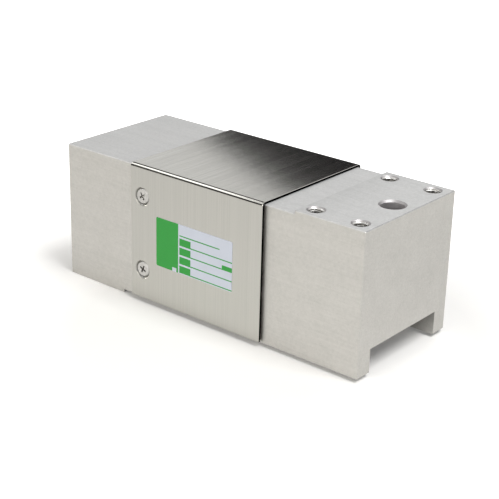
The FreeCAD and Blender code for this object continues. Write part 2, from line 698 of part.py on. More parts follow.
def potting(name, facing, embedded):
    """The silicone that fills a gauge pocket round the pieces in it."""
    fill = add_body(f"{name}_fill")
    side = "(Sizes.pocket_width / 2)"
    sketch = add_sketch(fill, f"{name}_outline", "XY_Plane", pocket_floor(facing))
    rectangle(sketch, POCKET_START, POCKET_END, opposite(side), side)
    depth = "(Sizes.pocket_depth - Sizes.potting_drop)"
    cast = extrude(fill, "Pad", f"{name}_cast", sketch, depth, reverse=facing == DOWN)
    dress(fill, "Fillet", f"{name}_corners", cast, lambda edge: runs_along(edge, 2), "Sizes.pocket_corner")
    inside = doc.addObject("Part::MultiFuse", f"{name}_embedded")
    inside.Shapes = embedded
    item = doc.addObject("Part::Cut", name)
    item.Label = name
    item.Base = fill
    item.Tool = inside
    doc.recompute()
    return item


def place_on_axis(body):
    """Sets a gland piece, modelled along its own Z axis, on the fixed end's face."""
    place(body, FIXED_END, "0", MIDDLE, turn((0, 1, 0), -90))
    doc.recompute()


def ring(name, inner, outer, low, high):
    """A plain ring of the gland between two levels above the end face."""
    body = add_body(name)
    sketch = add_sketch(body, f"{name}_profile", "XZ_Plane")
    rectangle(sketch, f"({inner} / 2)", f"({outer} / 2)", low, high)
    spin(body, "Revolution", f"{name}_ring", sketch)
    place_on_axis(body)
    return body


def gland_pieces():
    """The cable gland on the fixed end's face: gasket, body, bush and nut."""
    thread = "(Sizes.gland_tap - 2 * Sizes.gland_fit)"
    flange_top = "(Sizes.gasket_thickness + Sizes.gland_flange)"
    neck_top = f"({flange_top} + Sizes.gland_neck)"
    bush_low = f"({neck_top} - Sizes.bush_length)"
    gasket_outer = "(Sizes.gland_tap + 2 * Sizes.gasket_width)"
    gasket = ring("gland_gasket", "Sizes.gland_tap", gasket_outer, "0", "Sizes.gasket_thickness")

    body = add_body("gland_body")
    sketch = add_sketch(body, "gland_hexagon", "XY_Plane", "Sizes.gasket_thickness")
    hexagon(sketch, "Sizes.gland_flats")
    extrude(body, "Pad", "gland_flange", sketch, "Sizes.gland_flange")
    sketch = add_sketch(body, "gland_stem_circle", "XY_Plane", "(-Sizes.gland_reach)")
    circle(sketch, "0", "0", thread)
    extrude(body, "Pad", "gland_stem", sketch, f"({neck_top} + Sizes.gland_reach)")
    sketch = add_sketch(body, "gland_bore_circle", "XY_Plane", neck_top)
    circle(sketch, "0", "0", "Sizes.gland_bore")
    extrude(body, "Pocket", "gland_bore", sketch, f"({neck_top} + Sizes.gland_reach)")
    sketch = add_sketch(body, "bush_seat_circle", "XY_Plane", neck_top)
    circle(sketch, "0", "0", "(Sizes.bush_diameter + 2 * Sizes.gland_fit)")
    extrude(body, "Pocket", "bush_seat", sketch, "Sizes.bush_length")
    place_on_axis(body)

    bush = ring("gland_bush", "Sizes.bush_bore", "Sizes.bush_diameter", bush_low, neck_top)
    return [gasket, body, bush, gland_nut(flange_top, neck_top)]


def gland_nut(flange_top, neck_top):
    """The gland's nut: a capped hexagon that presses on the bush."""
    body = add_body("gland_nut")
    low = f"({flange_top} + Sizes.nut_gap)"
    sketch = add_sketch(body, "nut_hexagon", "XY_Plane", low)
    hexagon(sketch, "Sizes.gland_flats")
    height = f"({neck_top} + Sizes.nut_wall - {low})"
    blank = extrude(body, "Pad", "nut_blank", sketch, height)
    top = number(f"({low} + {height})")
    dress(body, "Chamfer", "nut_top", blank, lambda edge: close(edge.CenterOfMass.z, top), "Sizes.nut_round")
    sketch = add_sketch(body, "nut_thread_circle", "XY_Plane", low)
    circle(sketch, "0", "0", "Sizes.gland_tap")
    extrude(body, "Pocket", "nut_thread", sketch, f"({neck_top} - {low})", reverse=True)
    sketch = add_sketch(body, "nut_mouth_circle", "XY_Plane", low)
    circle(sketch, "0", "0", "Sizes.gland_bore")
    extrude(body, "Pocket", "nut_mouth", sketch, height, reverse=True)
    place_on_axis(body)
    return body


def faults(pieces):
    """Every object left failed by the last recompute and every piece without a sound solid."""
    found = [item.Label for item in doc.Objects if {"Invalid", "Error"} & set(item.State)]
    for piece in pieces:
        if piece.Shape.isNull() or not piece.Shape.isValid() or not piece.Shape.Solids:
            found.append(piece.Label)
    return found


def build():
    """Makes every piece in the order that the object would be put together."""
    fill_sheet()
    gauges = {}
    for facing, level_name in ((UP, "top"), (DOWN, "bottom")):
        gauges[facing] = [
            strain_gauge(f"{level_name}_fixed_gauge", facing, FIXED_FLEXURE),
            strain_gauge(f"{level_name}_loaded_gauge", facing, LOADED_FLEXURE),
            terminal(f"{level_name}_fixed_terminal", facing, FIXED_TERMINAL),
            terminal(f"{level_name}_loaded_terminal", facing, LOADED_TERMINAL),
        ]
    on_board = [bridge_board()] + resistors()
    on_board.append(short_lead("top_fixed_lead", FIXED_TERMINAL, -1))
    on_board.append(short_lead("top_loaded_lead", LOADED_TERMINAL, 1))
    long_lead = bottom_lead()
    pieces = [load_cell_body(), folded_cover(), rating_label()]
    for side in (FRONT, REAR):
        pieces += [cover_screw(side, level_name) for level_name in SCREW_HEIGHTS]
    pieces += gauges[UP] + gauges[DOWN] + on_board + [long_lead]
    pieces.append(potting("top_potting", UP, gauges[UP] + on_board + [long_lead]))
    pieces.append(potting("bottom_potting", DOWN, gauges[DOWN] + [long_lead]))
    pieces += gland_pieces()
    doc.recompute()
    return pieces


pieces = build()
failed = faults(pieces)
if failed:
    raise RuntimeError("These objects failed: " + ", ".join(failed))
os.makedirs("parts", exist_ok=True)
for piece in pieces:
    piece.Shape.exportStep(f"parts/{piece.Label}.step")
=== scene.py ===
"""Finishes, print, threads and studio for a single point load cell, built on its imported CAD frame.

Everything is in metres in the frame of the CAD model: the origin is the centre of the fixed end's bolt holes,
+X runs to the loaded end, +Y to the rear and +Z up.
"""

import json
import math

import bmesh
import bpy
from bpy.props import FloatProperty, FloatVectorProperty, IntProperty, PointerProperty
from mathutils import Euler, Matrix, Vector


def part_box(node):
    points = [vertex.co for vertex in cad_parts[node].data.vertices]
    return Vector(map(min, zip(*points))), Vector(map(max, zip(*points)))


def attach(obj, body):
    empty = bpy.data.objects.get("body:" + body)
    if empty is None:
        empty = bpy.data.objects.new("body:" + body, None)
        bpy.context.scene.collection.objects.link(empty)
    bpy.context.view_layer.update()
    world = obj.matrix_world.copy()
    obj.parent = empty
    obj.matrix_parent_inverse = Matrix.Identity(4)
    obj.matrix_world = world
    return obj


bl_info = {
    "name": "Single point load cell",
    "version": (1, 0, 0),
    "blender": (4, 5, 0),
    "location": "View3D > Sidebar > Load Cell",
    "description": "Finishes, printed label, threads and studio for a single point load cell",
    "category": "Object",
}

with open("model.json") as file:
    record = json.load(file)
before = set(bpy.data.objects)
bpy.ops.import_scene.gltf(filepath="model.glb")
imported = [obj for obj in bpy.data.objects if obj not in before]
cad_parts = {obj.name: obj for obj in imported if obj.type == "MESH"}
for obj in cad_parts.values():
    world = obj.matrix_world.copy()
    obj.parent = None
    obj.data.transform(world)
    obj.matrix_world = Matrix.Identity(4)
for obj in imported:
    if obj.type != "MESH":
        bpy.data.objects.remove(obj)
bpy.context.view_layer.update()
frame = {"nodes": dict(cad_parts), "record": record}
MM = 0.001
WHITE = (1.0, 1.0, 1.0)
X_AXIS = (1, 0, 0)

# The range that most of a noise texture's values fall in.
NOISE_LOW = 0.3
NOISE_HIGH = 0.7

# How far a face's normal leans over to count as sloped, and as square to an axis.
SLOPED = 0.6
SQUARE = 0.95

# What the lamps and cards are turned to, and the middle of the object's shadow on the floor.
MIDDLE = (0.07, 0, 0.04)
BEND = (0.07, -0.04, 0.075)
SHADOW = (0.11, -0.02, 0)

# Sizes of the CAD model that its record doesn't hold.
PAD_LENGTH = 40 * MM
BOLT_RIM = 0.61 * MM
STOP_RIM = 1.01 * MM
DIMPLE_RADIUS = 4.95 * MM
# Outer radius of the painted shade in the ring between each screw head and its dimple.
CREVICE_SHADE_RADIUS = 4.6 * MM


def colour(name, description, default):
    """A colour that a user may change, in linear light."""
    return FloatVectorProperty(
        name=name, description=description, default=default, size=3, min=0, max=1, subtype="COLOR"
    )


def length(name, description, millimetres):
    """A length that a user may change, given here in millimetres."""
    size = {"default": millimetres * MM, "precision": 6, "unit": "LENGTH", "subtype": "DISTANCE"}
    return FloatProperty(name=name, description=description, **size)


def share(name, description, default):
    """A number between none and all."""
    return FloatProperty(name=name, description=description, default=default, min=0, max=1, subtype="FACTOR")


def light(name, description, default):
    """A strength of light, where 1 renders white paper as white."""
    return FloatProperty(name=name, description=description, default=default, min=0)


class BlockFinish(bpy.types.PropertyGroup):
    """The satin finish of the machined block."""

    tint: colour("Colour", "Colour of the blasted level faces", (0.512, 0.512, 0.508))
    # Painted light: the upright faces get a warmer colour than the level faces, standing in for the warm
    # light from the boxes in front.
    side_tint_and_warm_light: colour("Side colour", "Colour of the ground upright faces", (0.497, 0.487, 0.462))
    roughness: share("Roughness", "Roughness of the blasted level faces", 0.7)
    side_roughness: share("Side roughness", "Roughness of the ground upright faces", 0.42)
    bored: colour("Bores", "Colour of the bores' walls", (0.62, 0.60, 0.61))
    # Painted shade: the countersinks get a darker colour than the rest of the block, which dims their
    # reflection of the lamps.
    sunk: colour("Countersinks", "Colour of the turned countersinks", (0.33, 0.32, 0.32))
    bored_roughness: share("Bore roughness", "Roughness of the bores' walls", 0.5)
    sunk_roughness: share("Countersink roughness", "Roughness of the turned countersinks", 0.5)
    grain: length("Grain", "Size of the blasted grain", 0.3)
    patch: length("Patch", "Size of the faint cloudy patches", 16)
    edge: length("Edge", "Reach of the worn, slightly rounded edges", 0.13)


class CoverFinish(bpy.types.PropertyGroup):
    """The brushed finish of the folded sheet."""

    tint: colour("Colour", "Colour of the stainless sheet", (0.475, 0.467, 0.434))
    # Painted shade: the sheet's cut ends and the undersides of its flanges are near black, standing in for
    # the shade in the narrow gaps between the sheet and the block.
    cut: colour("Cut edge", "Colour of the sheet's cut edges", (0.05, 0.047, 0.05))
    roughness: share("Roughness", "Roughness between the brush marks", 0.09)
    mark_width: length("Mark width", "Width of the finest brush marks", 0.12)
    mark_length: length("Mark length", "Length of the brush marks", 38)
    edge: length("Edge", "Reach of the rolled rim along the sheet's edges", 0.6)
    pressed: share("Dimple roughness", "Roughness of the dimples pressed round the screws", 0.22)


class ScrewFinish(bpy.types.PropertyGroup):
    """The bright finish of the cover's screws."""

    tint: colour("Colour", "Colour of the screws", (0.56, 0.55, 0.53))
    roughness: share("Roughness", "Roughness of the screw heads", 0.3)
    edge: length("Edge", "Reach of the wear along the recess", 0.12)


class LabelPrint(bpy.types.PropertyGroup):
    """The label's film and the plain fields printed on it."""

    film: colour("Film", "Colour of the unprinted film", (0.582, 0.624, 0.722))
    ink: colour("Ink", "Colour of the printed fields", (0.016, 0.325, 0.036))
    roughness: share("Roughness", "Roughness of the film under its gloss", 0.35)
    panel: length("Panel", "Width of the solid panel at the left", 15)
    rule: length("Rule", "Thickness of the printed rules", 0.6)
    box_left: length("Box left", "Left end of the boxes and rules", 15.8)
    box_width: length("Box width", "Width of the boxes", 7.5)
    box_height: length("Box height", "Height of the boxes", 3.7)
    row: length("Row", "Distance from one row to the next", 4.9)


class ThreadSizes(bpy.types.PropertyGroup):
    """The turns cut into the block's bolt holes, and their finish."""

    tint: colour("Colour", "Colour of the cut turns", (0.60, 0.59, 0.57))
    roughness: share("Roughness", "Roughness of the cut turns", 0.25)
    edge: length("Edge", "Reach of the polish along the crests", 0.1)
    hole_depth: length("Hole depth", "Depth of the bolt holes", 25)
    pitch: length("Pitch", "Distance from one turn to the next", 1.25)
    depth: length("Depth", "Depth of the thread from root to crest", 0.64)
    root_clearance: length("Root clearance", "Thread root to the drawn wall of the hole", 0.02)
    backing: length("Backing", "Metal behind the thread's root", 0.1)
    end_margin: length("End margin", "Thread's last turn to the bottom of the hole", 0.2)
    segments: IntProperty(name="Segments", description="Steps in one turn", default=64, min=12)


class GlandFinish(bpy.types.PropertyGroup):
    """The nickel plate and rubber of the cable gland."""

    tint: colour("Plate", "Colour of the nickel plate", (0.60, 0.57, 0.50))
    roughness: share("Roughness", "Roughness of the nickel plate", 0.2)
    rubber: colour("Rubber", "Colour of the bush and gasket", (0.025, 0.025, 0.027))
    edge: length("Edge", "Reach of the wear along the hexagons", 0.25)


class InnerFinish(bpy.types.PropertyGroup):
    """The finish of the sealed pieces under the cover."""

    film: colour("Gauge film", "Colour of the gauges' carrier film", (0.55, 0.24, 0.05))
    foil: colour("Foil", "Colour of the gauges' foil", (0.42, 0.38, 0.33))
    laminate: colour("Laminate", "Colour of the board and terminals", (0.02, 0.13, 0.05))
    solder: colour("Solder", "Colour of the tinned pads", (0.55, 0.55, 0.56))
    resistor: colour("Resistor", "Colour of the resistors' bodies", (0.02, 0.02, 0.024))
    lead: colour("Lead", "Colour of the tinned copper leads", (0.62, 0.47, 0.36))
    lead_roughness: share("Lead roughness", "Roughness of the tinned copper leads", 0.35)
    lead_edge: length("Lead edge", "Reach of the wear along the leads' edges", 0.05)
    silicone: colour("Silicone", "Colour of the sealing compound", (0.62, 0.62, 0.58))


class Studio(bpy.types.PropertyGroup):
    """The white room, its lamps and the camera."""

    floor: colour("Floor", "Colour of the floor", (0.88, 0.872, 0.856))
    lift: light("Lift", "Light that the floor adds near the object for what looks straight at it", 0.09)
    far_lift: light("Far lift", "Light that the floor adds away from the object", 0.8)
    mirror_lift: light("Mirrored lift", "Light that the floor adds where the metal mirrors it", 0.2)
    room: light("Room", "Light from the white room", 0.13)
    overhead: light("Overhead", "Brightness of the soft box above the loaded end", 11.4)
    back: light("Back", "Brightness of the soft box above and behind", 2.0)
    front: light("Front", "Brightness of the wide soft box in front", 2.2)
    left: light("Front left", "Brightness of the soft box at the front left", 5.6)
    key: light("Key", "Brightness of the soft box at the front right", 0.4)
    strip: light("Strip", "Brightness of the strip light at the left", 1.65)
    warm: colour("Warm light", "Colour of the boxes in front", (1.0, 0.96, 0.885))
    card: colour("Card", "Colour of the dark card behind that the metal mirrors", (0.010, 0.009, 0.011))
    flag: colour("Flag", "Colour of the two grey cards that the cover's bends mirror", (0.05, 0.048, 0.048))
    lens: FloatProperty(name="Lens", description="Focal length in millimetres", default=93.811, min=1)
    place: FloatVectorProperty(
        name="Camera", description="Place of the camera", default=(0.467761, -0.482723, 0.285297), size=3,
        unit="LENGTH", subtype="XYZ",
    )
    aim: FloatVectorProperty(
        name="Aim", description="Turn of the camera",
        default=tuple(math.radians(angle) for angle in (67.5993, -1.3717, 39.7673)), size=3,
        unit="ROTATION", subtype="EULER",
    )


class LoadCellSettings(bpy.types.PropertyGroup):
    """All settings of the load cell's looks."""

    block: PointerProperty(name="Block", description="Finish of the block", type=BlockFinish)
    cover: PointerProperty(name="Cover", description="Finish of the cover", type=CoverFinish)
    screws: PointerProperty(name="Screws", description="Finish of the screws", type=ScrewFinish)
    label: PointerProperty(name="Label", description="Print of the label", type=LabelPrint)
    threads: PointerProperty(name="Threads", description="Turns of the threads", type=ThreadSizes)
    gland: PointerProperty(name="Gland", description="Finish of the gland", type=GlandFinish)
    inner: PointerProperty(name="Inner pieces", description="Finish of the inner pieces", type=InnerFinish)
    studio: PointerProperty(name="Studio", description="Room, lamps and camera", type=Studio)


class Tree:
    """Adds nodes to one tree and joins them."""

    def __init__(self, tree):
        self.nodes = tree.nodes
        self.links = tree.links

    def feed(self, socket, value):
        """Links a socket to another one, or sets it to a plain value."""
        if isinstance(value, bpy.types.NodeSocket):
            self.links.new(value, socket)
        elif socket.type == "RGBA" and len(value) == 3:
            socket.default_value = (*value, 1)
        else:
            socket.default_value = value

    def add(self, kind, inputs=None, **settings):
        """A node with its settings, its inputs fed by name or number."""
        made = self.nodes.new(f"ShaderNode{kind}")
        for name, value in settings.items():
            setattr(made, name, value)
        for key, value in (inputs or {}).items():
            self.feed(made.inputs[key], value)
        return made

    def place(self, group, **inputs):
        """A node group, its inputs fed by name with underscores for spaces."""
        made = self.add("Group", node_tree=group)
        for name, value in inputs.items():
            self.feed(made.inputs[name.replace("_", " ").capitalize()], value)
        return made.outputs

    def calc(self, operation, *values, clamp=False):
        """The result of a Math node."""
        made = self.add("Math", dict(enumerate(values)), operation=operation, use_clamp=clamp)
        return made.outputs[0]

    def product(self, first, second):
        """One value times another."""
        return self.calc("MULTIPLY", first, second)

    def total(self, *values):
        """Values added up, from the first to the last."""
        result = values[0]
        for value in values[1:]:
            result = self.calc("ADD", result, value)
        return result

    def less(self, value, *losses):
        """A value less what is lost under each mask: the mask times its loss."""
        for mask, loss in losses:
            value = self.calc("SUBTRACT", value, self.product(mask, loss))
        return value

    def off(self, value, middle):
        """How far a value is from a middle, on either side."""
        return self.calc("ABSOLUTE", self.calc("SUBTRACT", value, middle))

    def over(self, value, limit):
        """1 where a value is over a limit."""
        return self.calc("GREATER_THAN", value, limit)

    def under(self, value, limit):
        """1 where a value is under a limit."""
        return self.calc("LESS_THAN", value, limit)

    def inside(self, value, low, high):
        """1 where a value is between two limits."""
        return self.product(self.over(value, low), self.under(value, high))

    def parts(self, vector):
        """The three parts of a vector."""
        return self.add("SeparateXYZ", {0: vector}).outputs

    def grey(self, value):
        """A colour with the same value in its three parts."""
        return self.add("CombineXYZ", {0: value, 1: value, 2: value}).outputs[0]

    def vector(self, operation, *values):
        """The result of a Vector Math node."""
        made = self.add("VectorMath", dict(enumerate(values)), operation=operation)
        return made.outputs["Value" if operation in ("DOT_PRODUCT", "LENGTH") else "Vector"]

    def blend(self, factor, first, second):
        """A colour between two colours."""
        made = self.add("Mix", data_type="RGBA")
        self.feed(made.inputs["Factor"], factor)
        self.feed(made.inputs[6], first)
        self.feed(made.inputs[7], second)
        return made.outputs[2]

    def between(self, value, low, high, to_low=0.0, to_high=1.0):
        """A value moved from one range to another and kept inside it."""
        made = self.add("MapRange", {0: value, 1: low, 2: high, 3: to_low, 4: to_high})
        made.clamp = True
        return made.outputs[0]

    def spread(self, noise, to_low=0.0, to_high=1.0):
        """A noise's usual range moved to another one."""
        return self.between(noise, NOISE_LOW, NOISE_HIGH, to_low, to_high)

    def pick(self, mask, without, within):
        """One value where a mask is 0 and another where it is 1."""
        return self.between(mask, 0, 1, without, within)

    def noise(self, vector, scale, detail, roughness):
        """The value of a noise texture."""
        inputs = {"Vector": vector, "Scale": scale, "Detail": detail, "Roughness": roughness}
        return self.add("TexNoise", inputs, noise_dimensions="3D").outputs[0]

    def coordinates(self, kind="Object"):
        """The surface point in the frame's coordinates, or as a share of the piece's box."""
        return self.add("TexCoord").outputs[kind]


def new_group(name, inputs, outputs):
    """An empty shader group with named sockets: its tree, what comes in and what goes out."""
    group = bpy.data.node_groups.new(name, "ShaderNodeTree")
    for label, kind, default in inputs:
        socket = group.interface.new_socket(label, in_out="INPUT", socket_type=f"NodeSocket{kind}")
        if default is not None:
            socket.default_value = default
    for label, kind in outputs:
        group.interface.new_socket(label, in_out="OUTPUT", socket_type=f"NodeSocket{kind}")
    tree = Tree(group)
    coming = group.nodes.new("NodeGroupInput").outputs
    going = group.nodes.new("NodeGroupOutput").inputs
    return group, tree, coming, going


def once(build):
    """Builds a group the first time it is asked for and returns the same one afterwards."""
    name = build.__name__.replace("_", " ").capitalize()

    def get():
        return bpy.data.node_groups.get(name) or build(name)

    return get


@once
def fine_grain(name):
    """Blasted or cast grain: two sizes of soft noise."""
    inputs = [("Vector", "Vector", None), ("Size", "Float", 0.0002)]
    group, tree, coming, going = new_group(name, inputs, [("Grain", "Float")])
    scale = tree.calc("DIVIDE", 1.0, coming["Size"])
    fine = tree.noise(coming["Vector"], scale, 2.0, 0.55)
    coarse = tree.noise(coming["Vector"], tree.product(scale, 0.22), 3.0, 0.6)
    tree.feed(going["Grain"], tree.total(tree.product(fine, 0.6), tree.product(coarse, 0.4)))
    return group


@once
def long_marks(name):
    """Brush or cutter marks: noise stretched by the size of one mark along each axis."""
    inputs = [("Vector", "Vector", None), ("Mark", "Vector", (0.001, 0.001, 0.001))]
    group, tree, coming, going = new_group(name, inputs, [("Fine marks", "Float"), ("Broad marks", "Float")])
    stretched = tree.vector("DIVIDE", coming["Vector"], coming["Mark"])
    tree.feed(going["Fine marks"], tree.noise(stretched, 1.0, 3.0, 0.6))
    tree.feed(going["Broad marks"], tree.noise(stretched, 0.14, 3.0, 0.65))
    return group


@once
def cloudy_patches(name):
    """Faint patches where handling and finishing left a surface uneven."""
    inputs = [("Vector", "Vector", None), ("Size", "Float", 0.02)]
    group, tree, coming, going = new_group(name, inputs, [("Patches", "Float")])
    scale = tree.calc("DIVIDE", 1.0, coming["Size"])
    patches = tree.noise(coming["Vector"], scale, 5.0, 0.62)
    tree.feed(going["Patches"], tree.spread(patches))
    return group


@once
def edge_wear(name):
    """A mask that grows towards the edges of a solid, and the normal rounded over them."""
    inputs = [("Vector", "Vector", None), ("Reach", "Float", 0.0003)]
    outputs = [("Wear", "Float"), ("Rounded normal", "Vector")]
    group, tree, coming, going = new_group(name, inputs, outputs)
    bevel = tree.add("Bevel", {"Radius": coming["Reach"]}, samples=4)
    normal = tree.add("NewGeometry").outputs["Normal"]
    facing = tree.vector("DOT_PRODUCT", bevel.outputs["Normal"], normal)
    flat, rounded = 0.995, 0.86
    turned = tree.between(facing, flat, rounded)
    marks_per_metre = 420.0
    uneven = tree.between(tree.noise(coming["Vector"], marks_per_metre, 3.0, 0.6), 0.3, 0.62)
    tree.feed(going["Wear"], tree.product(turned, uneven))
    tree.feed(going["Rounded normal"], bevel.outputs["Normal"])
    return group


@once
def round_zone(name):
    """A mask inside upright bores that stand in pairs on both sides of a centre, between two heights."""
    inputs = [("Vector", "Vector", None)]
    inputs += [(label, "Float", 0.0) for label in ("Centre x", "Half x", "Half y", "Radius", "Low", "High")]
    group, tree, coming, going = new_group(name, inputs, [("Inside", "Float")])
    x, y, z = tree.parts(coming["Vector"])
    from_centre = tree.off(x, coming["Centre x"])
    across = tree.calc("SUBTRACT", from_centre, coming["Half x"])
    along = tree.calc("SUBTRACT", tree.calc("ABSOLUTE", y), coming["Half y"])
    squares = tree.total(tree.product(across, across), tree.product(along, along))
    limit = tree.product(coming["Radius"], coming["Radius"])
    upright = tree.inside(z, coming["Low"], coming["High"])
    tree.feed(going["Inside"], tree.product(upright, tree.under(squares, limit)))
    return group


@once
def printed_box(name):
    """A crisp rectangle of ink between four distances from the label's lower left corner."""
    inputs = [("Across", "Float", 0.0), ("Up", "Float", 0.0)]
    inputs += [(side, "Float", 0.0) for side in ("Left", "Right", "Low", "High")]
    group, tree, coming, going = new_group(name, inputs, [("Ink", "Float")])
    across = tree.inside(coming["Across"], coming["Left"], coming["Right"])
    upwards = tree.inside(coming["Up"], coming["Low"], coming["High"])
    tree.feed(going["Ink"], tree.product(across, upwards))
    return group


def new_material(name):
    """A material with its tree, and what sets an input of its Principled shader by name."""
    material = bpy.data.materials.new(name)
    material.use_nodes = True
    tree = Tree(material.node_tree)
    inputs = material.node_tree.nodes["Principled BSDF"].inputs
    return material, tree, lambda label, value: tree.feed(inputs[label], value)


def new_object(name, data):
    """An object with its data, linked to the scene."""
    made = bpy.data.objects.new(name, data)
    bpy.context.scene.collection.objects.link(made)
    return made


def ending(word):
    """The names of the CAD pieces that end with a word."""
    return [name for name in frame["nodes"] if name.endswith(word)]


def dress(names, material):
    """Gives CAD nodes a material in all their slots."""
    for name in names:
        piece = frame["nodes"][name]
        if not piece.material_slots:
            piece.data.materials.append(material)
        for slot in piece.material_slots:
            slot.material = material


def scaled(tint, factor):
    """A colour made lighter or darker by a factor."""
    return tuple(min(1.0, factor * part) for part in tint)


def relief(tree, height, depth, normal=None):
    """A bump of a depth in metres over a normal."""
    inputs = {"Height": height, "Distance": depth, "Strength": 1.0}
    if normal:
        inputs["Normal"] = normal
    return tree.add("Bump", inputs).outputs["Normal"]


def mount(name):
    """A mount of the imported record."""
    return next(item for item in frame["record"]["mounts"] if item["name"] == name)


def turned_zones(tree, point):
    """A mask inside the bolt holes and the stop bore, out to the rims of their countersinks."""
    mask = 0.0
    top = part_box("load_cell_body")[1].z + MM
    for name, rim, low, high in (
        ("fixed_end_bolts", BOLT_RIM, -MM, top / 2),
        ("loaded_end_bolts", BOLT_RIM, top / 2, top),
        ("stop_bore", STOP_RIM, -MM, top),
    ):
        hole = mount(name)
        dims = hole["dims"]
        sizes = {
            "centre_x": hole["pos_m"][0],
            "half_x": dims.get("spacing_x_mm", 0) * MM / 2,
            "half_y": dims.get("spacing_y_mm", 0) * MM / 2,
            "radius": dims.get("hole_r_mm", dims.get("r_mm")) * MM + rim,
        }
        zone = tree.place(round_zone(), vector=point, low=low, high=high, **sizes)
        mask = tree.calc("MAXIMUM", mask, zone["Inside"])
    return mask


def darker_pad_edge(tree, point):
    """A value that is 1 along the inner edge of the upper pad's face and fades to 0 across it."""
    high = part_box("load_cell_body")[1]
    start = high.x - PAD_LENGTH
    fade = 18 * MM
    skin = 0.3 * MM
    x, _, z = tree.parts(point)
    fading = tree.between(x, start, start + fade, 1.0, 0.0)
    return tree.product(fading, tree.over(z, high.z - skin))


def satin_aluminium(name, finish):
    """Fine satin aluminium with turned bores: blasted grain over faint cutter marks, with clean edges."""
    material, tree, paint = new_material(name)
    point = tree.coordinates()
    bored = turned_zones(tree, point)
    ring_mark = (9 * MM, 9 * MM, 0.25 * MM)
    cutter_mark = (22 * MM, 0.7 * MM, 0.7 * MM)
    rings = tree.place(long_marks(), vector=point, mark=ring_mark)["Fine marks"]
    grain = tree.place(fine_grain(), vector=point, size=finish.grain)["Grain"]
    marks = tree.place(long_marks(), vector=point, mark=cutter_mark)
    patches = tree.place(cloudy_patches(), vector=point, size=finish.patch)["Patches"]
    edges = tree.place(edge_wear(), vector=point, reach=finish.edge)
    true_x, _, true_z = tree.parts(tree.add("NewGeometry").outputs["True Normal"])
    level = tree.over(tree.calc("ABSOLUTE", true_z), SLOPED)
    # Painted shade: the chamfers across the ends are darkened in the losses below, which dims their
    # reflection of the lamps.
    end_chamfer_shade = tree.product(level, tree.over(tree.calc("ABSOLUTE", true_x), SLOPED))
    # Painted light: the upright faces take their warmer colour here.
    metal = tree.blend(level, finish.side_tint_and_warm_light, finish.tint)
    shading = tree.total(
        tree.spread(marks["Broad marks"], 0.02, -0.03),
        tree.pick(patches, 0.015, -0.03),
        tree.spread(marks["Fine marks"], 0.03, -0.03),
        tree.spread(grain, -0.12, 0.12),
    )
    # Losses: wear along the edges, a darker band along the upper pad's inner edge, and painted shade on the
    # chamfers across the ends.
    losses = [(edges["Wear"], 0.12), (darker_pad_edge(tree, point), 0.08), (end_chamfer_shade, 0.32)]
    shading = tree.total(1.0, tree.less(shading, *losses))
    worn = tree.vector("MULTIPLY", metal, tree.grey(shading))
    wall = tree.blend(tree.spread(rings), finish.bored, scaled(finish.bored, 0.7))
    # Painted shade: the countersinks take their darker colour here.
    turned = tree.blend(level, wall, finish.sunk)
    paint("Base Color", tree.blend(bored, worn, turned))
    even = tree.pick(level, finish.side_roughness, finish.roughness)
    satin_rough = tree.total(even, tree.pick(patches, -0.035, 0.05))
    bore_rough = tree.pick(level, finish.bored_roughness, finish.sunk_roughness)
    turned_rough = tree.total(bore_rough, tree.spread(rings, -0.05, 0.05))
    paint("Roughness", tree.pick(bored, satin_rough, turned_rough))
    paint("Metallic", 1.0)
    satin_height = tree.total(grain, tree.product(marks["Fine marks"], 0.35))
    height = tree.pick(bored, satin_height, tree.product(rings, 1.6))
    paint("Normal", relief(tree, height, 0.012 * MM, edges["Rounded normal"]))
    return material


def sheet_rim(tree, point, reach):
    """A value that grows to all towards the sheet's end beside the pad and its lower edges."""
    low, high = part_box("folded_cover")
    x, _, z = tree.parts(point)
    to_end = tree.between(x, high.x - reach, high.x)
    to_foot = tree.between(z, low.z + reach, low.z)
    return tree.calc("MAXIMUM", to_end, to_foot)


def dimple_zone(tree, point, radius):
    """A mask within a distance from the axes of the cover's screws."""
    low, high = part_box("front_lower_cover_screw")
    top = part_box("front_upper_cover_screw")[1]
    middle = (low.z + top.z) / 2
    x, _, z = tree.parts(point)
    turned = tree.add("CombineXYZ", {0: x, 1: tree.calc("SUBTRACT", z, middle)}).outputs[0]
    sizes = {"centre_x": (low.x + high.x) / 2, "half_y": (top.z - high.z) / 2, "radius": radius}
    return tree.place(round_zone(), vector=turned, low=-MM, high=MM, **sizes)["Inside"]


